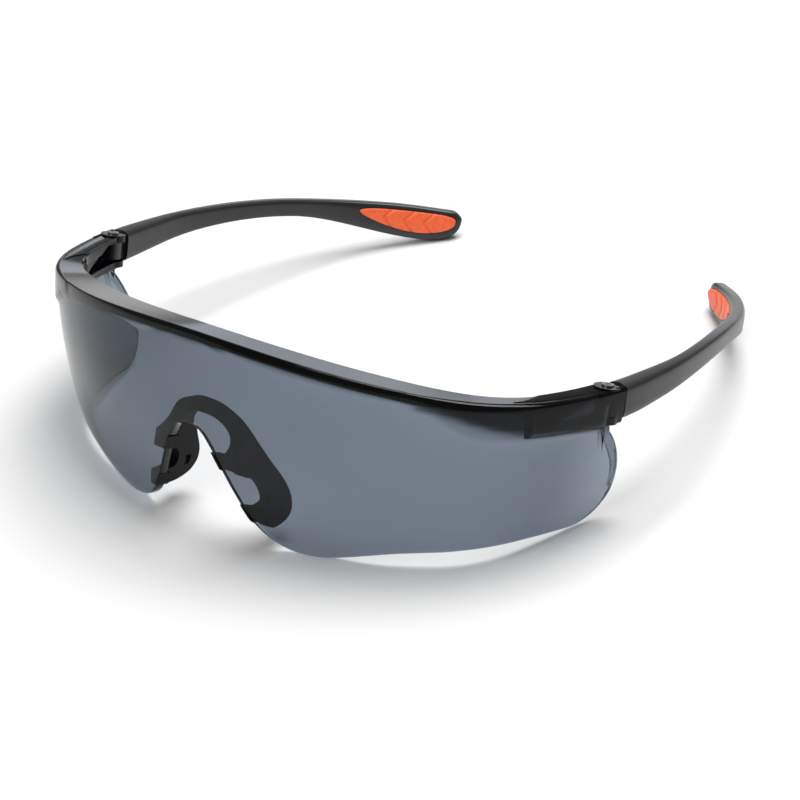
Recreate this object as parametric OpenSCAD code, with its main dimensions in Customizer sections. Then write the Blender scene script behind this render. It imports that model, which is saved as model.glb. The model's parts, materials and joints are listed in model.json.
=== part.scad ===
// Wrap-around safety glasses: a one-piece tinted shield with a flat brow ledge and hollow
// hinge endpieces, two folding temples with soft tip pads, a soft nose bridge and two screws.
//
// Everything is laid out in the wearing frame: +X to the wearer's left, +Y to the rear,
// +Z up, with the middle of the brow ledge's front edge at zero. rest_pose() then tips the
// whole assembly back until the shield's lobes and the temple tips stand on the floor.

/* [Shield] */
// Depth of the shield's two lobes below the brow line
lobe_depth = 44; // [40:0.5:48]
// Depth of the top of the nose cut-out below the brow line
nose_top = 20.5; // [18:0.5:22]
// Wall thickness of the shield
shield_t = 2.2; // [1.8:0.1:2.4]
// Inward bow of the shield, in mm for each mm of depth squared
shield_bow = 0.0049; // [0.003:0.0001:0.006]
// How far the brow line dips between the middle and the endpieces
brow_dip = 3; // [1:0.5:4]
// Width of the flat brow ledge at the middle
ledge_w = 7.4; // [6:0.2:9]
// Thickness of the brow ledge
ledge_t = 2.3; // [1.8:0.1:2.6]

/* [Hinges] */
// Height of an endpiece at the hinge
endpiece_h = 7.5; // [7:0.1:9]
// Thickness of the two plates that hold the knuckle
plate_t = 1.6; // [1.4:0.1:1.8]
// Radius of a plate's round end
plate_r = 2.9; // [2.7:0.1:3]
// Radius of the temple's knuckle
knuckle_r = 2.2; // [2:0.1:2.2]
// Radius of the hinge screw's shank
screw_r = 0.72; // [0.6:0.02:0.9]
// Radius of the hinge screw's head
screw_head_r = 1.25; // [1.1:0.05:1.6]

/* [Temples] */
// Length of a temple measured along its curve, behind the hinge
temple_len = 101; // [96:1:104]
// Height to which the temple's top line climbs above the brow line
temple_rise = 5.2; // [4:0.1:6]
// Thickness of the temple along its thin stretch
temple_t = 3.4; // [3:0.1:4]
// Length of the soft pad
pad_len = 26; // [22:1:28]
// Height of the soft pad
pad_h = 5.2; // [4:0.1:5.8]

/* [Nose bridge] */
// Thickness of the nose bridge's legs
saddle_t = 2.6; // [2.2:0.1:3]
// Angle at which the legs splay apart downwards
saddle_splay = 22.3; // [20:0.1:24]

/* [Hidden] */
$fn = 48;
deg = 180 / PI;
fit_gap = 0.06;          // radial clearance of a running fit
seat_gap = 0.05;         // clearance around a piece seated in another
part_gap = 0.25;         // parting gap between an endpiece and its temple

// ---- plan line: the shield's outer face at the brow, then the temple's outer face ----
arc_len = [61, 22, 38, 35, 60];
arc_rad = [98, 36.5, 79, 150, 78];

function ease(t) = t <= 0 ? 0 : t >= 1 ? 1 : t * t * (3 - 2 * t);
function step_arc(p, l, r) =
    let (a = p[2] + l / r * deg)
    [p[0] + r * (sin(a) - sin(p[2])), p[1] + r * (cos(p[2]) - cos(a)), a];
function walk(s, i, p) =
    s <= arc_len[i] || i == len(arc_len) - 1
        ? step_arc(p, s, arc_rad[i])
        : walk(s - arc_len[i], i + 1, step_arc(p, arc_len[i], arc_rad[i]));
// point and direction of the plan line at the signed length s from the middle
function plan(s) = let (q = walk(abs(s), 0, [0, 0, 0])) s < 0 ? [-q[0], q[1], -q[2]] : q;
// a point n inside the plan line, at height z
function at(s, n, z) = let (p = plan(s)) [p[0] - n * sin(p[2]), p[1] + n * cos(p[2]), z];

// ---- heights along the plan line ----
dip_s = 60;              // where the brow line is lowest
climb_s = 155;           // where the temple's top line levels out
function brow_z(s) = let (a = abs(s)) a < dip_s
    ? -brow_dip * ease(a / dip_s)
    : -brow_dip + (brow_dip + temple_rise) * ease((a - dip_s) / (climb_s - dip_s));

// ---- hinge ----
hinge_s = 96;            // station of the hinge axis
hinge_n = 3;             // its distance inside the plan line
wall_end_s = 98.7;       // rear end of the endpiece's outer wall
wall_n = 0.5;            // inner face of that wall beside the knuckle
axis_xy = at(hinge_s, hinge_n, 0);
hinge_top = brow_z(hinge_s) + 0.15;
hinge_bottom = hinge_top - endpiece_h;
knuckle_gap = 0.15;      // axial clearance above and below the knuckle
screw_proud = 0.35;      // how far the head and the tip stand out

// ---- loft: skins a list of closed rings that all have the same number of points ----
function flipped(list) = [for (i = [len(list) - 1 : -1 : 0]) list[i]];
// six times the signed volume under a set of faces
function swept(points, faces) = let (
    v = [for (f = faces) for (i = [1 : len(f) - 2])
        cross(points[f[0]], points[f[i]]) * points[f[i + 1]]])
    v * [for (x = v) 1];
module loft(rings) {
    n = len(rings[0]);
    m = len(rings);
    points = [for (ring = rings) for (p = ring) p];
    faces = concat(
        [for (i = [0 : m - 2], j = [0 : n - 1])
            let (a = i * n + j, b = i * n + (j + 1) % n)
            each [[a, b, b + n], [a, b + n, a + n]]],
        [[for (j = [n - 1 : -1 : 0]) j]],
        [[for (j = [0 : n - 1]) (m - 1) * n + j]]);
    polyhedron(points, swept(points, faces) < 0 ? faces : [for (f = faces) flipped(f)], convexity = 8);
}

module both_sides() {
    children();
    mirror([1, 0, 0]) children();
}

// ---- shield ----
lens_rows = 8;
rear_cols = 7;
rear_s = 94;             // last station of the full-height shield
lobe_end_s = 104.4;      // rearmost station of the lobe
lobe_mid = 23;           // depth of that rearmost point
rear_edge_h = 32.2;      // depth of the lower edge at rear_s
// lower edge of the shield: station along the plan line, depth below the brow
lower_edge = [[0, nose_top], [3.5, nose_top + 1.1], [6.5, nose_top + 4.9], [11, nose_top + 12.5],
              [15, lobe_depth - 5.2], [20, lobe_depth - 1.6], [26, lobe_depth],
              [34, lobe_depth - 0.4], [52, lobe_depth - 5], [73, rear_edge_h + 3.1],
              [rear_s, rear_edge_h], [rear_s + 21, rear_edge_h - 3]];

function slope(i) = i == 0 ? 0
    : (lower_edge[i + 1][1] - lower_edge[i - 1][1]) / (lower_edge[i + 1][0] - lower_edge[i - 1][0]);
function edge_in(i, s) =
    let (a = lower_edge[i], b = lower_edge[i + 1], w = b[0] - a[0], t = (s - a[0]) / w)
    a[1] * (1 - ease(t)) + b[1] * ease(t)
        + w * t * (1 - t) * (slope(i) * (1 - t) - slope(i + 1) * t);
function edge_h(s, i = 0) = s <= lower_edge[i + 1][0] || i == len(lower_edge) - 3
    ? edge_in(i, s) : edge_h(s, i + 1);

// inward offset of the shield's outer face at depth h
function lens_n(s, h) = h * (0.105 - 0.053 * cos(plan(s)[2])) + shield_bow * h * h;
// the wall thins towards the free rear edge
function wall_t(s) = shield_t - 0.9 * ease((s - 84) / 20);
function ledge_in(s) = ledge_w + 1.3 * ease(s / 40) - 3.5 * ease((s - 40) / 40);

// one ring of the shield: down the outer face, up the inner face, round the ledge
function shield_ring(top, low, side, depth) = let (
    s = function (t) side * (top[0] + (low[0] - top[0]) * t),
    h = function (t) top[1] + (low[1] - top[1]) * t,
    face = function (t, extra) at(s(t), lens_n(s(t), h(t)) + extra, -h(t)),
    under = min(0.5, ledge_t / (low[1] - top[1])))
    concat([for (j = [0 : lens_rows]) face(j / lens_rows, 0)],
           [for (j = [lens_rows : -1 : 0]) let (v = under + (1 - under) * j / lens_rows)
               face(v, wall_t(abs(s(v))))],
           [face(under, depth), face(0, depth)]);

shield_stations = concat([for (s = [0 : 1.7 : 27.3]) s], [for (k = [1 : 21]) 27.2 + (rear_s - 27.2) * k / 21]);
function half_shield(side) = concat(
    [for (s = shield_stations) if (side > 0 || s > 0)
        shield_ring([s, -brow_z(s)], [s, edge_h(s)], side, ledge_in(s))],
    [for (k = [1 : rear_cols]) let (v = 0.95 * k / rear_cols)
        shield_ring([95.5 + 8.9 * sin(90 * pow(v, 0.85)), 8 + (lobe_mid - 8) * v],
            [rear_s + (lobe_end_s - rear_s) * sin(90 * v),
             lobe_mid + (rear_edge_h - lobe_mid) * cos(90 * v)], side, shield_t + seat_gap)]);

module shield_skin() {
    loft(concat(flipped(half_shield(-1)), half_shield(1)));
}

// ---- endpiece: a channel open inwards, fading into the shield at the front ----
flare_s = 50;            // where the endpiece starts to stand proud of the shield
plate_start_s = 72;      // front end of the lower plate
channel_s = 79;          // front end of the hollow between the plates
function endpiece_low(s) = brow_z(s) - 2.6 - (endpiece_h - 2.6) * ease((s - flare_s) / 16);
endpiece_proud = 0.15;   // how far it stands out of the plan line
plate_in = hinge_n + 2.3; // inner edge of the plates ahead of the hinge
// a solid block; the channel is cut out of it afterwards
function endpiece_ring(s, depth) = let (
    top = brow_z(s) + 0.1 * ease((s - flare_s) / 12),
    low = endpiece_low(s),
    n0 = -endpiece_proud,
    lean = 0.5 * lens_n(s, -low))
    [at(s, n0 + 0.9, top), at(s, n0 + 0.3, top - 0.25), at(s, n0, top - 0.9),
     at(s, n0 + lean, low + 0.6), at(s, n0 + lean + 0.4, low), at(s, depth, low), at(s, depth, top)];

module endpiece() {
    front_in = 2;
    rear_in = wall_n + 0.5;
    loft(concat(
        [for (s = [flare_s : 3.2 : hinge_s - 1])
            endpiece_ring(s, front_in + (plate_in - front_in) * ease((s - plate_start_s) / 8))],
        [endpiece_ring(hinge_s, plate_in), endpiece_ring(hinge_s + 0.02, rear_in),
         endpiece_ring(wall_end_s, rear_in)]));
}

// the hollow between the plates: its ceiling rises from the front
module channel() {
    function ring(s) = let (
        low = min(endpiece_low(s), hinge_bottom) + plate_t,
        high = min(hinge_top - plate_t, low + 0.4 + (s - channel_s) * 0.42))
        [at(s, wall_n, low), at(s, plate_in + 4, low), at(s, plate_in + 4, high), at(s, wall_n, high)];
    loft([for (k = [0 : 7]) ring(channel_s + (wall_end_s + 0.5 - channel_s) * k / 7)]);
}

module hinge_plates() {
    translate([axis_xy[0], axis_xy[1], 0]) {
        translate([0, 0, hinge_top - plate_t]) cylinder(r = plate_r, h = plate_t);
        translate([0, 0, hinge_bottom]) cylinder(r = plate_r, h = plate_t);
    }
}

module lens_shield() {
    color([0.30, 0.34, 0.38, 0.8]) rest_pose() difference() {
        union() {
            shield_skin();
            both_sides() {
                endpiece();
                hinge_plates();
            }
        }
        both_sides() {
            channel();
            translate([axis_xy[0], axis_xy[1], hinge_bottom - 1])
                cylinder(r = screw_r + fit_gap, h = endpiece_h + 2);
        }
    }
}

// ---- temple ----
temple_start_s = wall_end_s + part_gap;
tip_s = hinge_s + temple_len + 2.7;
waist_s = 153;           // where the temple is lowest in height
paddle_s = tip_s - 10;   // deepest station of the tip paddle
function temple_top(s) = brow_z(s) + 0.15 - 0.5 * ease((s - 180) / 20);
function temple_low(s) = s < waist_s
    ? -6.9 + 8 * pow(sin(90 * (s - temple_start_s) / (waist_s - temple_start_s)), 1.15)
    : 1.1 - 4.3 * ease((s - waist_s) / (paddle_s - waist_s));
function temple_thick(s) = temple_t + 2 * (1 - ease((s - temple_start_s) / 28));
// the tip is closed by one ellipse above and a longer one below
tip_round = [9, 3];
function tip_scale(s, length) = let (u = (s - (tip_s - length)) / length)
    u <= 0 ? 1 : sqrt(max(0.003, 1 - u * u));
ring_points = 16;
function soft_box(a, power) = let (c = cos(a), d = sin(a))
    [sign(c) * pow(abs(c), power), sign(d) * pow(abs(d), power)];
function temple_ring(s) = let (
    below = tip_scale(s, tip_round[0]), above = tip_scale(s, tip_round[1]),
    low = temple_low(s), high = temple_top(s),
    mid_z = low + (high - low) * (0.5 + 0.25 * (1 - below)),
    half_n = temple_thick(s) / 2 * (0.4 + 0.6 * above),
    mid_n = temple_n(s) + temple_thick(s) / 2)
    [for (j = [0 : ring_points - 1]) let (q = soft_box(360 * (j + 0.5) / ring_points, 0.45))
        at(s, mid_n - half_n * q[0],
           mid_z + q[1] * (q[1] < 0 ? (mid_z - low) * below : (high - mid_z) * above))];
temple_out = 0.6;        // inset of its outer face from the plan line
function temple_n(s) = 0.1 + (temple_out - 0.1) * ease((s - temple_start_s) / 14);
temple_stations = concat([for (k = [0 : 31]) temple_start_s + (tip_s - tip_round[0] - temple_start_s) * k / 31],
    [for (a = [10 : 10 : 90]) tip_s - tip_round[0] * (1 - sin(a))]);

// the pad lies on the temple's inner face
pad_end_s = tip_s - 1.6;
pad_sink = 0.8;          // depth of the recess that holds the pad
pad_proud = 0.5;         // how far the pad stands out of it
function pad_mid(s) = let (t = max(0, (pad_end_s - s) / pad_len)) 2.2 - 1.3 * sin(180 * pow(t, 0.8)) + 0.9 * t;
function pad_half(s) = let (t = max(0, min(1, (pad_end_s - s) / pad_len)))
    max(0.12, pad_h / 2 * pow(max(0, sin(180 * pow(t, 0.72))), 0.55));
function pad_ring(s, grow, inner, outer) = let (
    face = temple_n(s) + temple_thick(s), half_z = pad_half(s) + grow)
    [for (j = [0 : 11]) let (q = soft_box(30 * (j + 0.5), 0.6))
        at(s, q[0] < 0 ? face - inner : face + outer * (0.55 + 0.45 * abs(q[0])), pad_mid(s) + half_z * q[1])];
pad_steps = 18;
module pad_shape(grow, inner, outer)
    loft([for (i = [0 : pad_steps]) let (a = 180 * i / pad_steps)
        pad_ring(pad_end_s + grow - (pad_len + 2 * grow) * (1 - cos(a)) / 2, grow, inner, outer)]);

module temple_arm() {
    knuckle_low = hinge_bottom + plate_t + knuckle_gap;
    knuckle_high = hinge_top - plate_t - knuckle_gap;
    reach = part_gap + plate_r + 2.5;
    back = plan(hinge_s)[2] - 90;
    difference() {
        union() {
            difference() {
                loft([for (s = temple_stations) temple_ring(s)]);
                translate([axis_xy[0], axis_xy[1], hinge_bottom - 3])
                    cylinder(r = plate_r + part_gap + 0.1, h = endpiece_h + 8);
                pad_shape(seat_gap, pad_sink + seat_gap, 3);
            }
            translate([axis_xy[0], axis_xy[1], knuckle_low]) {
                cylinder(r = knuckle_r, h = knuckle_high - knuckle_low);
                rotate([0, 0, back]) translate([-1.6, 0, 0])
                    cube([3.2, reach, knuckle_high - knuckle_low]);
            }
        }
        translate([axis_xy[0], axis_xy[1], hinge_bottom - 1])
            cylinder(r = screw_r + fit_gap, h = endpiece_h + 2);
    }
}

module temple_left() { color([0.16, 0.16, 0.17]) rest_pose() temple_arm(); }
module temple_right() { color([0.16, 0.16, 0.17]) rest_pose() mirror([1, 0, 0]) temple_arm(); }

// ---- temple pads ----
module tip_pad() pad_shape(0, pad_sink, pad_proud);
module temple_pad_left() { color([0.93, 0.36, 0.16]) rest_pose() tip_pad(); }
module temple_pad_right() { color([0.93, 0.36, 0.16]) rest_pose() mirror([1, 0, 0]) tip_pad(); }

// ---- hinge screws ----
module hinge_screw() {
    translate([axis_xy[0], axis_xy[1], 0]) difference() {
        union() {
            translate([0, 0, hinge_bottom - screw_proud])
                cylinder(r = screw_r, h = endpiece_h + screw_proud + 0.1);
            translate([0, 0, hinge_top + 0.02]) cylinder(r = screw_head_r, h = screw_proud);
        }
        // cross recess
        for (a = [0, 90]) rotate([0, 0, a])
            translate([-0.8, -0.16, hinge_top + screw_proud - 0.2]) cube([1.6, 0.32, 1]);
    }
}
module hinge_screw_left() { color([0.72, 0.72, 0.74]) rest_pose() hinge_screw(); }
module hinge_screw_right() { color([0.72, 0.72, 0.74]) rest_pose() mirror([1, 0, 0]) hinge_screw(); }

// ---- nose bridge: a wishbone whose two legs clasp the edge of the nose cut-out ----
leg_x = 9.9;             // distance of a leg from the middle, at leg_z
leg_z = -25;
arch_z = -17.3;          // middle of the bar over the nose
arch_r = 9.2;            // bend between the bar and a leg
bridge_low = -40.2;      // lower end of the legs
// seen from the side: rear edge downwards, then the two fingers and the window upwards
side_outline = [[9.2, -14.9], [10.2, -16.3], [11.7, -18.8], [13, -21.4], [16.8, -27.2], [19, -30],
    [20.2, -32], [20.9, -34], [20.8, -35.8], [20, -37.4], [18.2, -38.6], [16, -39.3], [13, -39.7],
    [11.6, -39.4], [9.2, -37.2], [9, -35.8], [14, -35.4], [14.7, -34.2], [14, -32], [12.4, -30.2],
    [10, -29.2], [4.5, -29], [4.2, -25.4], [6.9, -25], [8.6, -23.9], [9.5, -22.2], [9.4, -20.4],
    [8.6, -18.6], [7.7, -16.6], [7.8, -15.1]];

function leg_at(z) = leg_x + tan(saddle_splay) * (leg_z - z);
// middle line of the wishbone seen from the front, each point with its direction
turn = 90 - saddle_splay;
bend_z = arch_z - arch_r * (1 - cos(turn));
bend_x = leg_at(bend_z) - arch_r * sin(turn);
wishbone = concat([[0, arch_z, 0]],
    [for (a = [0 : turn / 8 : turn + 0.01]) [bend_x + arch_r * sin(a), arch_z - arch_r * (1 - cos(a)), a]],
    [[leg_at(bridge_low), bridge_low, turn]]);
function beside(p, w) = [p[0] + w * sin(p[2]), p[1] + w * cos(p[2])];
module wishbone_outline() {
    half = saddle_t / 2;
    for (side = [-1, 1]) scale([side, 1])
        polygon(concat([for (p = wishbone) beside(p, half + 0.3 * cos(p[2]))],
                       flipped([for (p = wishbone) beside(p, -half - 0.3 * cos(p[2]))])));
}

// height range below the brow of each pair of clasping fingers
fingers = [[25.4, 28.8], [35.8, 39.2]];
lip = 0.25;              // how far a finger wraps round the edge
function edge_s(h) = lookup(h, [for (i = [0 : 5]) [lower_edge[i][1], lower_edge[i][0]]]);
module clasp(range, side) {
    function ring(h) = let (s = edge_s(h), f = lens_n(s, h), r = f + shield_t + 1.3)
        [at(side * (s - lip), f - lip, -h), at(side * (s + 3.6), f - lip, -h),
         at(side * (s + 3.6), r, -h), at(side * (s - lip), r - 0.6, -h)];
    loft([for (k = [0 : 3]) ring(range[0] + (range[1] - range[0]) * k / 3)]);
}

// the shield beside the nose, grown by the seating gap, with the space in front of it: the
// fingers' lips keep only a narrow strip of that space along the edge
module shield_and_front(front, inset) {
    top = 12;
    for (side = [-1, 1])
        loft([for (s = [0.9 : 1.5 : 28])
            let (low = edge_h(s) + inset, h = [for (k = [0 : 5]) top + (low - top) * k / 5])
            concat([for (k = [0 : 5]) at(side * s, lens_n(s, h[k]) - front, -h[k])],
                   [for (k = [5 : -1 : 0]) at(side * s, lens_n(s, h[k]) + shield_t + seat_gap, -h[k])])]);
}

// C-shaped hollow in the face that rests on the nose
hollow_at = [15.2, -34.6];
module pad_hollow() {
    translate([leg_at(hollow_at[1]) - saddle_t * 0.75, hollow_at[0], hollow_at[1]])
        rotate([0, -saddle_splay, 0]) rotate([0, 90, 0]) difference() {
            cylinder(r = 3.3, h = 2, center = true);
            cylinder(r = 1.9, h = 3, center = true);
            translate([-4, -8, -2]) cube([8, 7, 4]);
        }
}

module nose_bridge() {
    color([0.10, 0.10, 0.11]) rest_pose() difference() {
        union() {
            intersection() {
                rotate([90, 0, 0]) translate([0, 0, -30]) linear_extrude(height = 30) wishbone_outline();
                rotate([90, 0, 90]) translate([0, 0, -25]) linear_extrude(height = 50) polygon(side_outline);
            }
            for (side = [-1, 1], range = fingers) clasp(range, side);
        }
        both_sides() pad_hollow();
        shield_and_front(seat_gap, seat_gap);
        shield_and_front(9, -0.5);
    }
}

// ---- resting pose ----
rough_tilt = 18.8;
function tip_back(p, a) = [p[0], p[1] * cos(a) + p[2] * sin(a), p[2] * cos(a) - p[1] * sin(a)];
lobe_points = [for (s = [24 : 1 : 44], n = [0, shield_t]) let (h = edge_h(s)) at(s, lens_n(s, h) + n, -h)];
tip_points = [for (s = [for (q = temple_stations) if (q > paddle_s - 3) q]) each temple_ring(s)];
function lowest(points) = let (z = [for (p = points) tip_back(p, rough_tilt)[2]])
    points[search(min(z), z)[0]];
lobe_point = lowest(lobe_points);
tip_point = lowest(tip_points);
rest_tilt = atan2(tip_point[2] - lobe_point[2], tip_point[1] - lobe_point[1]);
front_y = min([for (s = [0 : 2 : 30], k = [0 : 10]) let (h = edge_h(s) * k / 10)
    tip_back(at(s, lens_n(s, h), -h), rest_tilt)[1]]);
back_y = max([for (p = tip_points) tip_back(p, rest_tilt)[1]]);
rest_y = -(front_y + back_y) / 2;
rest_z = -min([for (p = concat(lobe_points, tip_points)) tip_back(p, rest_tilt)[2]]);
module rest_pose() translate([0, rest_y, rest_z]) rotate([-rest_tilt, 0, 0]) children();

lens_shield();
nose_bridge();
temple_left();
temple_right();
temple_pad_left();
temple_pad_right();
hinge_screw_left();
hinge_screw_right();
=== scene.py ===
"""Studio scene of wrap-around safety glasses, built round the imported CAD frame.

Shapes are worked out in the wearing frame, in millimetres: X to the wearer's left, Y to the
rear, Z up, zero at the front of the brow ledge. place() carries them into the row frame,
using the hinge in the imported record.
"""
import json
import math

import bmesh
import bpy
from mathutils import Matrix, Vector


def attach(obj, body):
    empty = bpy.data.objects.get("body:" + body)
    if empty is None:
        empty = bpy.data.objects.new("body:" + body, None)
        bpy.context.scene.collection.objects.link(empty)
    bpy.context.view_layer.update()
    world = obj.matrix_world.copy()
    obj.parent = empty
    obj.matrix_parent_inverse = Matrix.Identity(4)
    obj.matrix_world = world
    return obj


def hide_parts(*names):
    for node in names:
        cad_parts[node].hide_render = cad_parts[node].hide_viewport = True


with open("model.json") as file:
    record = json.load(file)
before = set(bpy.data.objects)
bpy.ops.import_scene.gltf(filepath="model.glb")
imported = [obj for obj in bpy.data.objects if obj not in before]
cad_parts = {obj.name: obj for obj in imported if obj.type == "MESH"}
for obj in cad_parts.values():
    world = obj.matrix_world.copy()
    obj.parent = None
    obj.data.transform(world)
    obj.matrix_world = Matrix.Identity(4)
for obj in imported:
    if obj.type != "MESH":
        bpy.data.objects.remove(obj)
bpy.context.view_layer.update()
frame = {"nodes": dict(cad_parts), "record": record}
record = frame["record"]

# ---- driving dimensions, mm: the same as the CAD's ----
LOBE_DEPTH = 44.0       # depth of the shield's two lobes below the brow line
NOSE_TOP = 20.5         # depth of the top of the nose cut-out
SHIELD_T = 2.2          # wall of the shield
SHIELD_BOW = 0.0049     # inward bow, for each mm of depth squared
BROW_DIP = 3.0          # how far the brow line dips on each side
TEMPLE_RISE = 5.2       # how far the temple's top line climbs above the brow line
LEDGE_W = 7.4           # flat brow ledge at the middle
LEDGE_T = 2.3
ENDPIECE_H = 7.5        # height of an endpiece at the hinge
PLATE_T = 1.6           # the two plates that hold the knuckle
PLATE_R = 2.9
KNUCKLE_R = 2.2
BORE_R = 0.78           # hole for the hinge screw
BORE_SIDES = 32
TEMPLE_LEN = 101.0      # along the curve, behind the hinge
TEMPLE_T = 3.4
PAD_LEN = 26.0
PAD_H = 5.2
PAD_SINK = 0.8          # depth of the recess that holds the pad
PAD_PROUD = 0.5         # how far the pad stands out of it
LEG_T = 2.6             # legs of the nose bridge
LEG_SPLAY = math.radians(22.3)
PART_GAP = 0.25         # between an endpiece and its temple
SEAT_GAP = 0.05         # round a piece seated in another
KNUCKLE_GAP = 0.15      # above and below the knuckle
CUT_PAST = 1            # how far a bore's cutter reaches past the material

# ---- the wearing frame ----
# plan line: arcs from the middle of the brow to the tip of the temple
ARC_LEN = [61, 22, 38, 35, 60]
ARC_RAD = [98, 36.5, 79, 150, 78]
DIP_S, CLIMB_S = 60, 155                        # lowest brow line; temple's top levels out
HINGE_S, HINGE_N, HINGE_Z = 96, 3.0, -4.0       # the hinge's station, inset and height
TOP_RISE = 0.15                                 # endpiece and temple over the brow line


def ease(t):
    """Smooth step from 0 to 1."""
    return 0.0 if t <= 0 else 1.0 if t >= 1 else t * t * (3 - 2 * t)


def plan(s):
    """Point and heading of the plan line at the signed length s from the middle."""
    x, y, a, left = 0.0, 0.0, 0.0, abs(s)
    for i, (length, radius) in enumerate(zip(ARC_LEN, ARC_RAD)):
        step = left if i == len(ARC_LEN) - 1 else min(left, length)
        b = a + step / radius
        x += radius * (math.sin(b) - math.sin(a))
        y += radius * (math.cos(a) - math.cos(b))
        a = b
        left -= step
        if left <= 0:
            break
    return (x, y, a) if s >= 0 else (-x, y, -a)


def at(s, n, z):
    """A point n inside the plan line, at height z."""
    x, y, a = plan(s)
    return Vector((x - n * math.sin(a), y + n * math.cos(a), z))


def brow_z(s):
    """Height of the brow line, and of the temple's top line behind it."""
    s = abs(s)
    if s < DIP_S:
        return -BROW_DIP * ease(s / DIP_S)
    return -BROW_DIP + (BROW_DIP + TEMPLE_RISE) * ease((s - DIP_S) / (CLIMB_S - DIP_S))


HINGE = at(HINGE_S, HINGE_N, HINGE_Z)
HINGE_TOP = brow_z(HINGE_S) + TOP_RISE
HINGE_BOTTOM = HINGE_TOP - ENDPIECE_H
left_joint = record["behaviour"]["joints"][0]
rest_tilt = math.atan2(left_joint["axis"][1], left_joint["axis"][2])
to_row = (Matrix.Translation(Vector(left_joint["pos_m"])) @ Matrix.Rotation(-rest_tilt, 4, "X")
          @ Matrix.Scale(0.001, 4) @ Matrix.Translation(-HINGE))


# ---- mesh helpers ----
WELD = 0.004            # corners nearer than this are one corner


def place(obj, body, slot, *nodes):
    obj.data.transform(to_row)
    obj.data.update()
    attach(obj, body)
    if nodes:
        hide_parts(*nodes)
    return obj


def loft(name, rings):
    """Skins closed rings that all have the same number of points."""
    mesh = bpy.data.meshes.new(name)
    n, m = len(rings[0]), len(rings)
    points = [p for ring in rings for p in ring]
    faces = [(i * n + j, i * n + (j + 1) % n, (i + 1) * n + (j + 1) % n, (i + 1) * n + j)
             for i in range(m - 1) for j in range(n)]
    faces += [tuple(range(n - 1, -1, -1)), tuple((m - 1) * n + j for j in range(n))]
    mesh.from_pydata(points, [], faces)
    obj = bpy.data.objects.new(name, mesh)
    bpy.context.scene.collection.objects.link(obj)
    work = bmesh.new()
    work.from_mesh(mesh)
    bmesh.ops.triangulate(work, faces=work.faces)
    if work.calc_volume(signed=True) < 0:
        bmesh.ops.reverse_faces(work, faces=work.faces)
    work.to_mesh(mesh)
    work.free()
    return obj


def cylinder(name, centre, radius, low, high, segments=64):
    ring = [Vector((centre[0] + radius * math.cos(a), centre[1] + radius * math.sin(a), 0))
            for a in (2 * math.pi * k / segments for k in range(segments))]
    return loft(name, [[p + Vector((0, 0, z)) for p in ring] for z in (low, high)])


def cut(obj, other, operation="DIFFERENCE"):
    """Applies a Boolean and removes the other shape."""
    tool = obj.modifiers.new("cut", "BOOLEAN")
    tool.operation, tool.solver, tool.object = operation, "MANIFOLD", other
    done = bpy.data.meshes.new_from_object(
        obj.evaluated_get(bpy.context.evaluated_depsgraph_get()))
    obj.modifiers.clear()
    obj.data = done
    bpy.data.objects.remove(other)


def soften(obj, angle=32):
    """Smooth shading, with sharp edges where faces meet at more than the angle."""
    work = bmesh.new()
    work.from_mesh(obj.data)
    bmesh.ops.remove_doubles(work, verts=work.verts, dist=WELD)
    bmesh.ops.dissolve_degenerate(work, edges=work.edges, dist=WELD)
    for face in work.faces:
        face.smooth = True
    for edge in work.edges:
        edge.smooth = len(edge.link_faces) == 2 and edge.calc_face_angle(0) < math.radians(angle)
    work.to_mesh(obj.data)
    work.free()


def mirrored(obj, name):
    copy = bpy.data.objects.new(name, obj.data.copy())
    copy.data.transform(Matrix.Scale(-1, 4, (1, 0, 0)))
    copy.data.flip_normals()
    bpy.context.scene.collection.objects.link(copy)
    return copy


# ---- shield ----
REAR_S = 94             # last station of the full-height shield
LOBE_END_S = 104.4      # rearmost station of the lobe
LOBE_MID = 23           # depth of that rearmost point
REAR_EDGE_H = 32.2      # depth of the lower edge at REAR_S
REAR_TOP_S, REAR_TOP_H = 95.5, 8                # where the lobe's upper edge starts
LEAN, LEAN_TURN = 0.105, 0.053                  # inward lean, and how it grows round the side
THIN_S, THIN_RUN, THIN_BY = 84, 20, 0.9         # thinning towards the free rear edge
LEDGE_RUN, LEDGE_GROWS, LEDGE_SHRINKS = 40, 1.3, 3.5
# lower edge: station along the plan line, depth below the brow
LOWER_EDGE = [(0, NOSE_TOP), (3.5, NOSE_TOP + 1.1), (6.5, NOSE_TOP + 4.9), (11, NOSE_TOP + 12.5),
              (15, LOBE_DEPTH - 5.2), (20, LOBE_DEPTH - 1.6), (26, LOBE_DEPTH),
              (34, LOBE_DEPTH - 0.4), (52, LOBE_DEPTH - 5), (73, REAR_EDGE_H + 3.1),
              (REAR_S, REAR_EDGE_H), (REAR_S + 21, REAR_EDGE_H - 3)]
ROWS = 30               # faces down each side of the wall
MIDDLE_STEP, MIDDLE_COUNT, MIDDLE_END = 0.85, 33, 27.2
SIDE_COUNT, REAR_COUNT = 60, 16
REAR_STOP = 0.97        # the lobe's last ring stops just short of closing up
EDGE_R = 0.35           # rounding of the lower edge
BROW_R, BROW_R_GROWS = 0.4, 0.5                 # rounding of the brow's front edge

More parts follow.
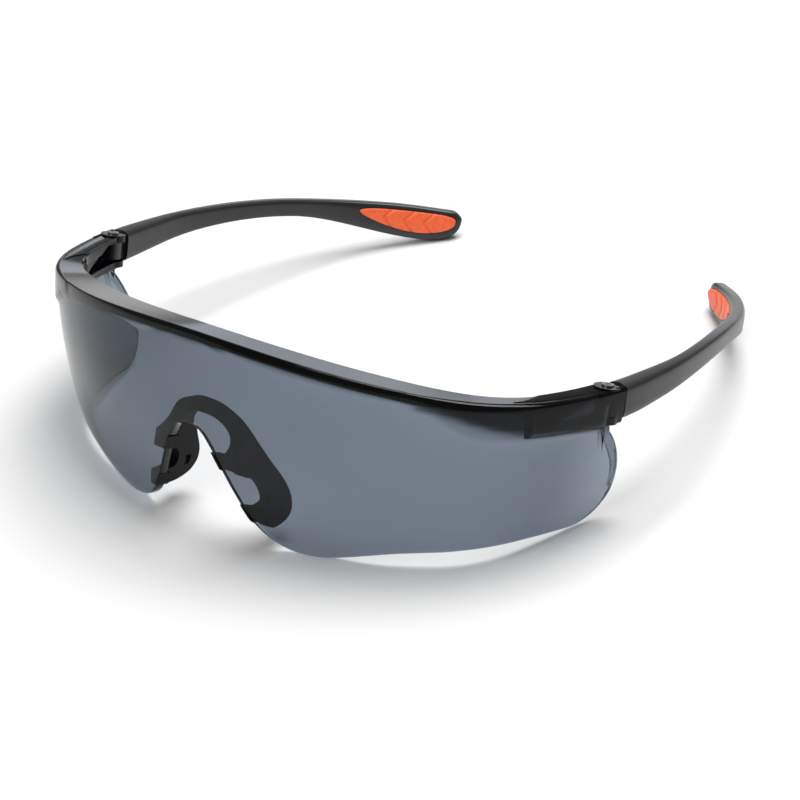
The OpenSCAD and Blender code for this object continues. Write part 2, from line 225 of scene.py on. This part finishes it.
FLARE_S, FLARE_RUN = 50, 16                     # the endpiece rises out of the shield
BROW_BAND = 2.6         # height of the brow's front where the endpiece starts
ENDPIECE_PROUD = 0.15   # how far the endpiece stands out of the plan line
FILLET_LOW, FILLET_RUN = 0.6, 1.3               # soft fillet below the endpiece
PLATE_START_S, PLATE_RUN = 72, 8                # the plates widen inwards
PLATE_FRONT_IN, PLATE_IN = 2, HINGE_N + 2.3
PLATE_OUT = 0.9
CHANNEL_S, CHANNEL_SLOPE = 79, 0.42             # front of the hollow, rise of its ceiling
WALL_START_S, WALL_END_S = 91.5, 98.7           # outer wall beside the knuckle
WALL_N, WALL_BACK = 0.5, 0.5                    # its inner face, and its extra depth
WALL_OUT = 0.02 - ENDPIECE_PROUD
ENDPIECE_STEPS = 24


def edge_slope(i):
    """Slope of the lower edge at one of its points, from the points beside it."""
    if i == 0:
        return 0
    a, b = LOWER_EDGE[i - 1], LOWER_EDGE[i + 1]
    return (b[1] - a[1]) / (b[0] - a[0])


def edge_h(s):
    """Depth of the shield's lower edge below the brow line."""
    i = 0
    while s > LOWER_EDGE[i + 1][0] and i < len(LOWER_EDGE) - 3:
        i += 1
    a, b = LOWER_EDGE[i], LOWER_EDGE[i + 1]
    w = b[0] - a[0]
    t = (s - a[0]) / w
    return (a[1] * (1 - ease(t)) + b[1] * ease(t)
            + w * t * (1 - t) * (edge_slope(i) * (1 - t) - edge_slope(i + 1) * t))


def lens_n(s, h):
    """Inward offset of the shield's outer face at depth h."""
    return h * (LEAN - LEAN_TURN * math.cos(plan(s)[2])) + SHIELD_BOW * h * h


def wall_t(s):
    """The wall thins towards the free rear edge."""
    return SHIELD_T - THIN_BY * ease((s - THIN_S) / THIN_RUN)


def ledge_in(s):
    """Width of the flat ledge behind the brow."""
    return (LEDGE_W + LEDGE_GROWS * ease(s / LEDGE_RUN)
            - LEDGE_SHRINKS * ease((s - LEDGE_RUN) / LEDGE_RUN))


def endpiece_low(s):
    """Height of the lower edge of the brow's front and of the endpiece."""
    return brow_z(s) - BROW_BAND - (ENDPIECE_H - BROW_BAND) * ease((s - FLARE_S) / FLARE_RUN)


def bulge(s, h):
    """How far the endpiece stands proud of the shield, with a soft fillet below it."""
    if s < FLARE_S:
        return 0
    depth = -endpiece_low(s)
    lean = 0.5 * lens_n(s, min(h, depth))
    return (ENDPIECE_PROUD + lean) * ease((depth + FILLET_LOW - h) / FILLET_RUN)


def shield_ring(top, low, side, depth):
    """Down the outer face, round the lower edge, up the inner face, then round the ledge."""
    span = low[1] - top[1]
    under = min(0.5, LEDGE_T / span)
    edge = min(0.02, EDGE_R / span)

    def face(t, extra, out=0, wall=False):
        s, h = top[0] + (low[0] - top[0]) * t, top[1] + span * t
        inward = extra + (wall_t(s) if wall else 0)
        return at(side * s, lens_n(s, h) - out * bulge(s, h) + inward, -h)

    # the front edge of the brow is rounded, and more so along the endpiece
    brow = BROW_R + BROW_R_GROWS * ease((top[0] - FLARE_S) / 12)
    ring = [face(0, brow, 1), face(0.12 * brow / span, brow * 0.6, 1),
            face(0.4 * brow / span, brow * 0.2, 1), face(brow / span, 0, 1)]
    start = brow / span
    ring += [face(start + (1 - edge - start) * j / ROWS, 0, 1) for j in range(1, ROWS + 1)]
    ring += [face(1 - 0.3 * edge, 0.15, 1), face(1, 0.5, 1), face(1, -0.5, 0, True),
             face(1 - 0.3 * edge, -0.15, 0, True), face(1 - edge, 0, 0, True)]
    ring += [face(under * 1.25 + (1 - edge - under * 1.25) * j / ROWS, 0, 0, True)
             for j in range(ROWS - 1, -1, -1)]
    ring += [face(under * 1.06, 0.15, 0, True), face(under, 0.5, 0, True)]
    back = max(depth, wall_t(top[0]) + 0.7)
    ring += [face(under, back - 0.1), face(under * 0.85, back), face(under * 0.15, back),
             face(0, back - 0.3), face(0, back - 0.6), face(0, brow + 0.3, 1)]
    return ring


def half_shield(side):
    """Rings from the middle to the rear edge of one side."""
    stations = [MIDDLE_STEP * k for k in range(MIDDLE_COUNT)]
    stations += [MIDDLE_END + (REAR_S - MIDDLE_END) * k / SIDE_COUNT
                 for k in range(1, SIDE_COUNT + 1)]
    rings = [shield_ring((s, -brow_z(s)), (s, edge_h(s)), side, ledge_in(s))
             for s in stations if side > 0 or s > 0]
    for k in range(1, REAR_COUNT + 1):
        v = REAR_STOP * k / REAR_COUNT
        rings.append(shield_ring(
            (REAR_TOP_S + (LOBE_END_S - REAR_TOP_S) * math.sin(math.pi / 2 * v ** 0.85),
             REAR_TOP_H + (LOBE_MID - REAR_TOP_H) * v),
            (REAR_S + (LOBE_END_S - REAR_S) * math.sin(math.pi / 2 * v),
             LOBE_MID + (REAR_EDGE_H - LOBE_MID) * math.cos(math.pi / 2 * v)), side, 0))
    return rings


def endpiece_block(name, side, start, stop, outer, inner_at):
    """A run of endpiece whose section spans the two offsets."""
    rings = []
    for k in range(ENDPIECE_STEPS + 1):
        s = start + (stop - start) * k / ENDPIECE_STEPS
        top, low, inner = brow_z(s) + TOP_RISE, endpiece_low(s), inner_at(s)
        lean = 0.5 * lens_n(s, -low)
        rings.append([at(side * s, n, z) for n, z in (
            (outer + 0.9, top), (outer + 0.5, top - 0.12), (outer + 0.15, top - 0.45),
            (outer, top - 0.9), (outer + lean, low + 0.5), (outer + lean + 0.12, low + 0.15),
            (outer + lean + 0.4, low), (inner, low), (inner, top))])
    return loft(name, rings)


def plate_in(s):
    """Inner edge of the plates."""
    return PLATE_FRONT_IN + (PLATE_IN - PLATE_FRONT_IN) * ease((s - PLATE_START_S) / PLATE_RUN)


def channel_cutter(name, side):
    """The hollow between the plates; its ceiling rises from the front."""
    end, steps = WALL_END_S + 0.5, 24

    def ring(s):
        low = min(endpiece_low(s), HINGE_BOTTOM) + PLATE_T
        high = min(HINGE_TOP - PLATE_T, low + 0.4 + (s - CHANNEL_S) * CHANNEL_SLOPE)
        far = PLATE_IN + 4
        return [at(side * s, n, z) for n, z in
                ((WALL_N, low), (far, low), (far, high), (WALL_N, high))]
    return loft(name, [ring(CHANNEL_S + (end - CHANNEL_S) * k / steps) for k in range(steps + 1)])


def make_shield():
    shield = loft("shield", half_shield(-1)[::-1] + half_shield(1))
    for side in (-1, 1):
        hinge = (side * HINGE.x, HINGE.y)
        plates = endpiece_block("plates", side, PLATE_START_S, HINGE_S, PLATE_OUT, plate_in)
        cut(shield, plates, "UNION")
        wall = endpiece_block("wall", side, WALL_START_S, WALL_END_S, WALL_OUT,
                              lambda s: WALL_N + WALL_BACK)
        cut(shield, wall, "UNION")
        for low in (HINGE_TOP - PLATE_T, HINGE_BOTTOM):
            cut(shield, cylinder("boss", hinge, PLATE_R, low, low + PLATE_T), "UNION")
        cut(shield, channel_cutter("channel", side))
        cut(shield, cylinder("bore", hinge, BORE_R, HINGE_BOTTOM - CUT_PAST, HINGE_TOP + CUT_PAST,
                             BORE_SIDES))
    soften(shield)
    return shield


# ---- temples ----
TEMPLE_START_S = WALL_END_S + PART_GAP
TIP_S = HINGE_S + TEMPLE_LEN + 2.7
WAIST_S = 153                                   # where the temple is lowest in height
PADDLE_S = TIP_S - 10                           # deepest station of the tip paddle
ROOT_LOW, WAIST_LOW, PADDLE_DROP = -6.9, 1.1, 4.3
DROOP_S, DROOP_RUN, DROOP = 180, 20, 0.5        # the top line falls again at the tip
TIP_BELOW, TIP_ABOVE = 9, 3                     # the tip's two rounding lengths
ROOT_EXTRA, ROOT_RUN = 2, 28                    # the temple is thicker at the hinge
ROOT_OUT, TEMPLE_OUT, OUT_RUN = 0.1, 0.6, 14    # inset of its outer face
ARM_STEPS, TIP_STEPS = 90, 24
RELIEF_GAP = 0.1        # extra room round the plates' ends
PAD_SEAT = 0.14         # how much larger the recess is than the pad
NECK_HALF, NECK_RUN = 1.6, 2.5


def temple_top(s):
    """Height of the temple's upper edge."""
    return brow_z(s) + TOP_RISE - DROOP * ease((s - DROOP_S) / DROOP_RUN)


def temple_low(s):
    """Height of its lower edge: up to the waist, then down into the paddle."""
    if s < WAIST_S:
        t = max(0, (s - TEMPLE_START_S) / (WAIST_S - TEMPLE_START_S))
        return ROOT_LOW + (WAIST_LOW - ROOT_LOW) * math.sin(math.pi / 2 * t) ** 1.15
    return WAIST_LOW - PADDLE_DROP * ease((s - WAIST_S) / (PADDLE_S - WAIST_S))


def temple_thick(s):
    return TEMPLE_T + ROOT_EXTRA * (1 - ease((s - TEMPLE_START_S) / ROOT_RUN))


def temple_n(s):
    """Inset of the temple's outer face from the plan line."""
    return ROOT_OUT + (TEMPLE_OUT - ROOT_OUT) * ease((s - TEMPLE_START_S) / OUT_RUN)


def tip_scale(s, length):
    """Share of the full section left at s, where the last stretch closes as an ellipse."""
    u = (s - (TIP_S - length)) / length
    return 1 if u <= 0 else math.sqrt(max(0.003, 1 - u * u))


def soft_box(angle, power):
    """A point on a square with rounded corners; a lower power makes it squarer."""
    c, d = math.cos(angle), math.sin(angle)
    return math.copysign(abs(c) ** power, c), math.copysign(abs(d) ** power, d)


def temple_ring(s, points=48):
    below, above = tip_scale(s, TIP_BELOW), tip_scale(s, TIP_ABOVE)
    low, high, thick = temple_low(s), temple_top(s), temple_thick(s)
    mid = low + (high - low) * (0.5 + 0.25 * (1 - below))
    half_n = thick / 2 * (0.4 + 0.6 * above)
    ring = []
    for j in range(points):
        q = soft_box(2 * math.pi * (j + 0.5) / points, 0.45)
        rise = (mid - low) * below if q[1] < 0 else (high - mid) * above
        ring.append(at(s, temple_n(s) + thick / 2 - half_n * q[0], mid + rise * q[1]))
    return ring


PAD_END_S = TIP_S - 1.6
GROOVES, GROOVE_START, GROOVE_PITCH = 3, 8.7, 5.4
GROOVE_SLANT, GROOVE_W, GROOVE_DEPTH = 1.15, 0.5, 0.45
GROOVE_MIN_HALF = 0.8   # no grooves where the pad is narrower than this


def pad_mid(s):
    """Height of the middle of the leaf-shaped pad."""
    t = max(0, (PAD_END_S - s) / PAD_LEN)
    return 2.2 - 1.3 * math.sin(math.pi * t ** 0.8) + 0.9 * t


def pad_half(s):
    """Half the pad's height, blunt towards the tip and pointed at the front."""
    t = max(0, min(1, (PAD_END_S - s) / PAD_LEN))
    return max(0.12, PAD_H / 2 * max(0, math.sin(math.pi * t ** 0.72)) ** 0.55)


def pad_groove(s, z):
    """Depth of the slanted leaf grooves at a point on the pad's face."""
    depth = 0
    for k in range(GROOVES):
        line = PAD_END_S - GROOVE_START - GROOVE_PITCH * k + GROOVE_SLANT * abs(z - pad_mid(s))
        depth = max(depth, math.exp(-((s - line) / GROOVE_W) ** 2))
    return GROOVE_DEPTH * depth


def pad_shape(name, grow, inner, outer, steps, rows, grooved=False):
    """The pad's leaf, from inner below the temple's inner face to a crown outer above it."""
    rings = []
    for i in range(steps + 1):
        s = PAD_END_S + grow - (PAD_LEN + 2 * grow) * (1 - math.cos(math.pi * i / steps)) / 2
        face = temple_n(s) + temple_thick(s)
        half = pad_half(s) + grow
        ring = []
        for j in range(rows):
            q = soft_box(2 * math.pi * (j + 0.5) / rows, 0.6)
            z = pad_mid(s) + half * q[1]
            crown = outer * (0.55 + 0.45 * abs(q[0]))
            if grooved and half > GROOVE_MIN_HALF:
                crown -= pad_groove(s, z)
            ring.append(at(s, face - inner if q[0] < 0 else face + crown, z))
        rings.append(ring)
    return loft(name, rings)


def make_temple():
    straight = TIP_S - TIP_BELOW - TEMPLE_START_S
    stations = [TEMPLE_START_S + straight * k / ARM_STEPS for k in range(ARM_STEPS + 1)]
    stations += [TIP_S - TIP_BELOW * (1 - math.sin(math.pi / 2 * k / TIP_STEPS))
                 for k in range(1, TIP_STEPS + 1)]
    arm = loft("arm", [temple_ring(s) for s in stations])
    hinge = (HINGE.x, HINGE.y)
    cut(arm, cylinder("relief", hinge, PLATE_R + PART_GAP + RELIEF_GAP,
                      HINGE_BOTTOM - 3, HINGE_TOP + 5, 96))
    cut(arm, pad_shape("recess", PAD_SEAT, PAD_SINK + SEAT_GAP, 3, 64, 40))
    low = HINGE_BOTTOM + PLATE_T + KNUCKLE_GAP
    high = HINGE_TOP - PLATE_T - KNUCKLE_GAP
    cut(arm, neck_block(low, high), "UNION")
    cut(arm, cylinder("knuckle", hinge, KNUCKLE_R, low, high), "UNION")
    cut(arm, cylinder("bore", hinge, BORE_R, low - CUT_PAST, high + CUT_PAST, BORE_SIDES))
    soften(arm)
    return arm


def neck_block(low, high):
    """The neck between the knuckle and the arm."""
    heading = plan(HINGE_S)[2]
    along = Vector((math.cos(heading), math.sin(heading), 0))
    across = Vector((-along.y, along.x, 0)) * NECK_HALF
    base = Vector((HINGE.x, HINGE.y, 0))
    reach = PART_GAP + PLATE_R + NECK_RUN
    corners = [base - across, base + across,
               base + across + along * reach, base - across + along * reach]
    return loft("neck", [[p + Vector((0, 0, z)) for p in corners] for z in (low, high)])


# ---- nose bridge ----
LEG_X, LEG_Z = 9.9, -25                         # a leg's distance from the middle, at a height
ARCH_Z, ARCH_R, BAR_EXTRA = -17.3, 9.2, 0.3     # bar over the nose, its bend, its extra height
BRIDGE_LOW = -40.2
# seen from the side: rear edge downwards, then upwards past the two fingers and the gaps
SIDE_OUTLINE = [
    (9.2, -14.9), (10.2, -16.3), (11.7, -18.8), (13, -21.4), (16.8, -27.2), (19, -30),
    (20.2, -32), (20.9, -34), (20.8, -35.8), (20, -37.4), (18.2, -38.6), (16, -39.3), (13, -39.7),
    (11.6, -39.4), (9.2, -37.2), (9, -35.8), (14, -35.4), (14.7, -34.2), (14, -32), (12.4, -30.2),
    (10, -29.2), (4.5, -29), (4.2, -25.4), (6.9, -25), (8.6, -23.9), (9.5, -22.2), (9.4, -20.4),
    (8.6, -18.6), (7.7, -16.6), (7.8, -15.1)]
FINGERS = [(25.4, 28.8), (35.8, 39.2)]          # height ranges below the brow
FINGER_W, FINGER_BACK, FINGER_CHAMFER = 3.6, 1.3, 0.6
LIP = 0.25              # how far a finger wraps round the edge
HOLLOW_AT = (15.2, -34.6)
HOLLOW_IN, HOLLOW_OUT, HOLLOW_HALF, HOLLOW_TURN = 1.9, 3.3, 1, 95
ROUND_R = 0.35
FRONT_SPACE = 9         # depth of the space that is kept free in front of the shield
LIP_STRIP = 0.5         # strip along the edge where a finger's lip may stay


def leg_at(z):
    """Distance of a leg from the middle at height z."""
    return LEG_X + math.tan(LEG_SPLAY) * (LEG_Z - z)


def rounded(points, passes=2):
    """Closed outline with its corners cut twice, which rounds them."""
    for _ in range(passes):
        fine = []
        for k, p in enumerate(points):
            q = points[(k + 1) % len(points)]
            fine += [(0.75 * p[0] + 0.25 * q[0], 0.75 * p[1] + 0.25 * q[1]),
                     (0.25 * p[0] + 0.75 * q[0], 0.25 * p[1] + 0.75 * q[1])]
        points = fine
    return points


def prism(name, outline, low, high, to_point):
    return loft(name, [[to_point(p, w) for p in outline] for w in (low, high)])


def wishbone_outline():
    """The bar and its two legs seen from the front."""
    turn = math.pi / 2 - LEG_SPLAY
    bend_z = ARCH_Z - ARCH_R * (1 - math.cos(turn))
    bend_x = leg_at(bend_z) - ARCH_R * math.sin(turn)
    line = [(0, ARCH_Z, 0)]
    line += [(bend_x + ARCH_R * math.sin(a), ARCH_Z - ARCH_R * (1 - math.cos(a)), a)
             for a in (turn * k / 14 for k in range(15))]
    line.append((leg_at(BRIDGE_LOW), BRIDGE_LOW, turn))

    def beside(p, sign):
        w = sign * (LEG_T / 2 + BAR_EXTRA * math.cos(p[2]))
        return p[0] + w * math.sin(p[2]), p[1] + w * math.cos(p[2])

    outer = [beside(p, 1) for p in line]
    inner = [beside(p, -1) for p in line]
    return ([(-x, z) for x, z in outer[:0:-1]] + outer + inner[::-1]
            + [(-x, z) for x, z in inner[1:]])


def edge_s(h):
    """Station of the nose cut-out's edge at depth h."""
    for (s0, h0), (s1, h1) in zip(LOWER_EDGE, LOWER_EDGE[1:]):
        if h <= h1:
            return s0 + (s1 - s0) * (h - h0) / (h1 - h0)
    return LOWER_EDGE[5][0]


def clasp(side, start, end):
    """A finger across the edge of the nose cut-out."""
    def ring(h):
        s = edge_s(h)
        f = lens_n(s, h)
        rear = f + SHIELD_T + FINGER_BACK
        return [at(side * (s - LIP), f - LIP, -h), at(side * (s + FINGER_W), f - LIP, -h),
                at(side * (s + FINGER_W), rear, -h),
                at(side * (s - LIP), rear - FINGER_CHAMFER, -h)]
    return loft("clasp", [ring(start + (end - start) * k / 6) for k in range(7)])


def shield_and_front(side, front, inset):
    """The shield beside the nose with a gap round it, and the space in front of it."""
    rings, top = [], 12
    for k in range(30):
        s = 0.9 + 0.9 * k
        low = edge_h(s) + inset
        depths = [top + (low - top) * j / 8 for j in range(9)]
        rings.append([at(side * s, lens_n(s, h) - front, -h) for h in depths]
                     + [at(side * s, lens_n(s, h) + SHIELD_T + SEAT_GAP, -h) for h in depths[::-1]])
    return loft("space", rings)


def pad_hollow(side):
    """C-shaped hollow in the face that rests on the nose."""
    y, z = HOLLOW_AT
    centre = Vector((side * (leg_at(z) - LEG_T * 0.75), y, z))
    turn = Matrix.Rotation(side * LEG_SPLAY, 3, "Y")
    rings = []
    for k in range(33):
        a = math.radians(-HOLLOW_TURN + 2 * HOLLOW_TURN * k / 32)
        rings.append([centre + turn @ Vector((w, r * math.cos(a), r * math.sin(a)))
                      for r, w in ((HOLLOW_IN, -HOLLOW_HALF), (HOLLOW_OUT, -HOLLOW_HALF),
                                   (HOLLOW_OUT, HOLLOW_HALF), (HOLLOW_IN, HOLLOW_HALF))])
    return loft("hollow", rings)


def make_bridge():
    bridge = prism("bridge", wishbone_outline(), 0, 30, lambda p, w: Vector((p[0], w, p[1])))
    cut(bridge, prism("side", rounded(SIDE_OUTLINE), -25, 25, lambda p, w: Vector((w, p[0], p[1]))),
        "INTERSECT")
    for side in (-1, 1):
        for start, end in FINGERS:
            cut(bridge, clasp(side, start, end), "UNION")
    for side in (-1, 1):
        cut(bridge, shield_and_front(side, SEAT_GAP, SEAT_GAP))
        cut(bridge, shield_and_front(side, FRONT_SPACE, -LIP_STRIP))
        cut(bridge, pad_hollow(side))
    soften(bridge, 40)
    bevel = bridge.modifiers.new("round", "BEVEL")
    bevel.width, bevel.segments, bevel.limit_method = ROUND_R, 3, "ANGLE"
    bevel.angle_limit = math.radians(50)
    bridge.data = bpy.data.meshes.new_from_object(
        bridge.evaluated_get(bpy.context.evaluated_depsgraph_get()))
    bridge.modifiers.clear()
    return bridge


# ---- materials ----
MIX_A, MIX_B, MIX_RESULT = 6, 7, 2              # colour sockets of the Mix node


def new_material(name):
    material = bpy.data.materials.new(name)
    material.use_nodes = True
    nodes, links = material.node_tree.nodes, material.node_tree.links
    return material, nodes, links, nodes["Principled BSDF"]


def speckle(nodes, links, scale, low, high, detail=4.0):
    """A noise in object space run through a two-colour ramp; returns noise and ramp."""
    where = nodes.new("ShaderNodeTexCoord")
    noise = nodes.new("ShaderNodeTexNoise")
    noise.inputs["Scale"].default_value = scale
    noise.inputs["Detail"].default_value = detail
    ramp = nodes.new("ShaderNodeValToRGB")
    ramp.color_ramp.elements[0].position = 0.35
    ramp.color_ramp.elements[1].position = 0.65
    ramp.color_ramp.elements[0].color = (*low, 1)
    ramp.color_ramp.elements[1].color = (*high, 1)
    links.new(where.outputs["Object"], noise.inputs["Vector"])
    links.new(noise.outputs["Fac"], ramp.inputs["Fac"])
    return noise, ramp


def grain(nodes, links, shader, noise, strength, distance):
    bump = nodes.new("ShaderNodeBump")
    bump.inputs["Strength"].default_value = strength
    bump.inputs["Distance"].default_value = distance
    links.new(noise.outputs["Fac"], bump.inputs["Height"])
    links.new(bump.outputs["Normal"], shader.inputs["Normal"])


def vary_roughness(nodes, links, shader, noise, low, high):
    spread = nodes.new("ShaderNodeMapRange")
    spread.inputs["To Min"].default_value = low
    spread.inputs["To Max"].default_value = high
    links.new(noise.outputs["Fac"], spread.inputs["Value"])
    links.new(spread.outputs["Result"], shader.inputs["Roughness"])


def smoke_polycarbonate():
    """Clear glossy plastic whose smoke dye absorbs light along the path through it."""
    material, nodes, links, shader = new_material("smoke_polycarbonate")
    shader.inputs["Transmission Weight"].default_value = 1.0
    shader.inputs["IOR"].default_value = 1.3
    _, ramp = speckle(nodes, links, 40, (0.60, 0.66, 0.74), (0.64, 0.70, 0.78))
    _, dark = speckle(nodes, links, 40, (0.010, 0.013, 0.018), (0.014, 0.018, 0.025))
    brow = nodes.new("ShaderNodeAttribute")
    brow.attribute_name = "brow"
    tint = nodes.new("ShaderNodeMix")
    tint.data_type = "RGBA"
    links.new(brow.outputs["Fac"], tint.inputs["Factor"])
    links.new(ramp.outputs["Color"], tint.inputs[MIX_A])
    links.new(dark.outputs["Color"], tint.inputs[MIX_B])
    links.new(tint.outputs[MIX_RESULT], shader.inputs["Base Color"])
    satin = nodes.new("ShaderNodeMapRange")
    satin.inputs["To Min"].default_value = 0.0
    satin.inputs["To Max"].default_value = 0.08
    links.new(brow.outputs["Fac"], satin.inputs["Value"])
    links.new(satin.outputs["Result"], shader.inputs["Roughness"])
    out = nodes["Material Output"]
    lamp = nodes.new("ShaderNodeBsdfTransparent")
    lamp.inputs["Color"].default_value = (0.43, 0.455, 0.485, 1)
    path = nodes.new("ShaderNodeLightPath")
    mix = nodes.new("ShaderNodeMixShader")
    links.new(path.outputs["Is Shadow Ray"], mix.inputs["Fac"])
    links.new(shader.outputs["BSDF"], mix.inputs[1])
    links.new(lamp.outputs["BSDF"], mix.inputs[2])
    links.new(mix.outputs["Shader"], out.inputs["Surface"])
    dye = nodes.new("ShaderNodeVolumeAbsorption")
    dye.inputs["Color"].default_value = (0.29, 0.34, 0.39, 1)
    dye.inputs["Density"].default_value = 800
    links.new(dye.outputs["Volume"], out.inputs["Volume"])
    return material


def dark_gloss(name, low, high, roughness, coat=0.0):
    material, nodes, links, shader = new_material(name)
    noise, ramp = speckle(nodes, links, 60, low, high)
    links.new(ramp.outputs["Color"], shader.inputs["Base Color"])
    vary_roughness(nodes, links, shader, noise, roughness - 0.04, roughness + 0.05)
    shader.inputs["Coat Weight"].default_value = coat
    shader.inputs["Coat Roughness"].default_value = 0.08
    return material


def soft_rubber(name, low, high, roughness, grain_scale, gloss=0.5):
    material, nodes, links, shader = new_material(name)
    noise, ramp = speckle(nodes, links, grain_scale, low, high)
    links.new(ramp.outputs["Color"], shader.inputs["Base Color"])
    vary_roughness(nodes, links, shader, noise, roughness - 0.05, roughness + 0.08)
    shader.inputs["Specular IOR Level"].default_value = gloss
    grain(nodes, links, shader, noise, 0.25, 0.00006)
    return material


def screw_steel():
    material, nodes, links, shader = new_material("screw_steel")
    noise, ramp = speckle(nodes, links, 900, (0.22, 0.21, 0.20), (0.30, 0.29, 0.28))
    links.new(ramp.outputs["Color"], shader.inputs["Base Color"])
    shader.inputs["Metallic"].default_value = 1.0
    vary_roughness(nodes, links, shader, noise, 0.22, 0.38)
    return material


LINE_END, LINE_STEP = 110, 0.5                  # samples of the plan line
BAND, BAND_SIDE, BAND_HINGE = 2.4, 4.6, 1.2     # depth of the dark band, and what it gains
FADE, FADE_GAIN, FADE_LOSS = 0.5, 1.4, 0.6      # softness of its lower edge


def mark_brow(obj):
    """Stores how far each point lies in the dark brow and endpieces, before place().

    The dark band is narrow in the middle and reaches down to the endpieces' lower edges; it
    ends crisply in the middle and at the hinge, and softly where the endpiece starts.
    """
    stations = [-LINE_END + LINE_STEP * k for k in range(round(2 * LINE_END / LINE_STEP) + 1)]
    line = [plan(s) + (s,) for s in stations]
    mask = obj.data.attributes.new("brow", "FLOAT", "POINT")
    for vertex, value in zip(obj.data.vertices, mask.data):
        p = vertex.co
        s = abs(min(line, key=lambda q: (p.x - q[0]) ** 2 + (p.y - q[1]) ** 2)[3])
        reach = BAND + BAND_SIDE * ease((s - 46) / 34) + BAND_HINGE * ease((s - 82) / 12)
        fade = (FADE + FADE_GAIN * ease((s - FLARE_S) / 8)
                * (1 - FADE_LOSS * ease((s - 76) / 16)))
        value.value = ease((p.z - brow_z(s) + reach + fade / 2) / fade)


def paint(obj, material):
    obj.data.materials.clear()
    obj.data.materials.append(material)


# ---- studio ----
FLOOR_Z = 0.0
CAMERA_AZIMUTH, CAMERA_ELEVATION, CAMERA_ROLL = 42.70, 30.02, -6.44
CAMERA_DISTANCE, CAMERA_LENS = 0.560, 113.55
AIM = Vector((0.00757, -0.01195, 0.00587))
FLOOR_SIZE = 8
WORLD_STRENGTH = 0.24


def towards(azimuth, elevation):
    """Unit vector out of the middle of the scene; azimuth 0 is straight in front."""
    a, e = math.radians(azimuth), math.radians(elevation)
    return Vector((math.sin(a) * math.cos(e), -math.cos(a) * math.cos(e), math.sin(e)))


def make_camera():
    data = bpy.data.cameras.new("camera")
    data.lens, data.sensor_width = CAMERA_LENS, 36
    data.clip_start, data.clip_end = 0.01, 20
    camera = bpy.data.objects.new("camera", data)
    back = towards(CAMERA_AZIMUTH, CAMERA_ELEVATION)
    camera.location = AIM + back * CAMERA_DISTANCE
    turn = (-back).to_track_quat("-Z", "Y").to_matrix() @ Matrix.Rotation(
        math.radians(CAMERA_ROLL), 3, "Z")
    camera.rotation_euler = turn.to_euler()
    bpy.context.scene.collection.objects.link(camera)
    bpy.context.scene.camera = camera


def area_light(name, azimuth, elevation, distance, size, power, colour=(1, 1, 1)):
    data = bpy.data.lights.new(name, "AREA")
    data.shape, data.size, data.size_y = "RECTANGLE", size[0], size[1]
    data.energy, data.color = power, colour
    light = bpy.data.objects.new(name, data)
    back = towards(azimuth, elevation)
    light.location = back * distance
    light.rotation_euler = back.to_track_quat("Z", "Y").to_euler()
    bpy.context.scene.collection.objects.link(light)


def make_floor():
    bpy.ops.mesh.primitive_plane_add(size=FLOOR_SIZE, location=(0, 0, FLOOR_Z))
    floor = bpy.context.object
    floor.name = "floor"
    material, nodes, links, shader = new_material("floor")
    noise, ramp = speckle(nodes, links, 3, (0.86, 0.86, 0.86), (0.88, 0.88, 0.88))
    links.new(ramp.outputs["Color"], shader.inputs["Base Color"])
    vary_roughness(nodes, links, shader, noise, 0.7, 0.8)
    paint(floor, material)


def make_world():
    world = bpy.data.worlds.new("studio")
    world.use_nodes = True
    world.node_tree.nodes["Background"].inputs["Color"].default_value = (1, 1, 1, 1)
    world.node_tree.nodes["Background"].inputs["Strength"].default_value = WORLD_STRENGTH
    bpy.context.scene.world = world


def build():
    make_camera()
    make_floor()
    make_world()
    area_light("key", 165, 72, 0.9, (0.6, 0.6), 8.8)
    area_light("fill", -10, 40, 1.6, (1.2, 0.4), 7)
    area_light("horizon", -144, 3.6, 1.6, (0.8, 0.17), 0.6, (0.84, 0.91, 1))
    bpy.context.scene.view_settings.view_transform = "Standard"

    smoke = smoke_polycarbonate()
    temple_plastic = dark_gloss("temple_polycarbonate", (0.008, 0.008, 0.009), (0.016, 0.016, 0.015),
                                0.34, 0.15)
    black = soft_rubber("soft_black", (0.003, 0.003, 0.004), (0.007, 0.007, 0.008), 0.6, 1200, 0.15)
    orange = soft_rubber("soft_orange", (0.93, 0.125, 0.032), (1.0, 0.16, 0.045), 0.42, 900)
    steel = screw_steel()

    shield = make_shield()
    mark_brow(shield)
    place(shield, "front", "smoke_polycarbonate", "lens_shield")
    paint(shield, smoke)
    bridge = place(make_bridge(), "front", "soft_black", "nose_bridge")
    paint(bridge, black)
    left = make_temple()
    left.name = "temple_left_arm"
    right = mirrored(left, "temple_right_arm")
    paint(place(left, "left_temple", "temple_polycarbonate", "temple_left"), temple_plastic)
    paint(place(right, "right_temple", "temple_polycarbonate", "temple_right"), temple_plastic)
    pad = pad_shape("pad_left", 0, PAD_SINK, PAD_PROUD, 110, 64, True)
    soften(pad, 50)
    other_pad = mirrored(pad, "pad_right")
    paint(place(pad, "left_temple", "soft_orange", "temple_pad_left"), orange)
    paint(place(other_pad, "right_temple", "soft_orange", "temple_pad_right"), orange)
    for node in ("hinge_screw_left", "hinge_screw_right"):
        paint(frame["nodes"][node], steel)


build()
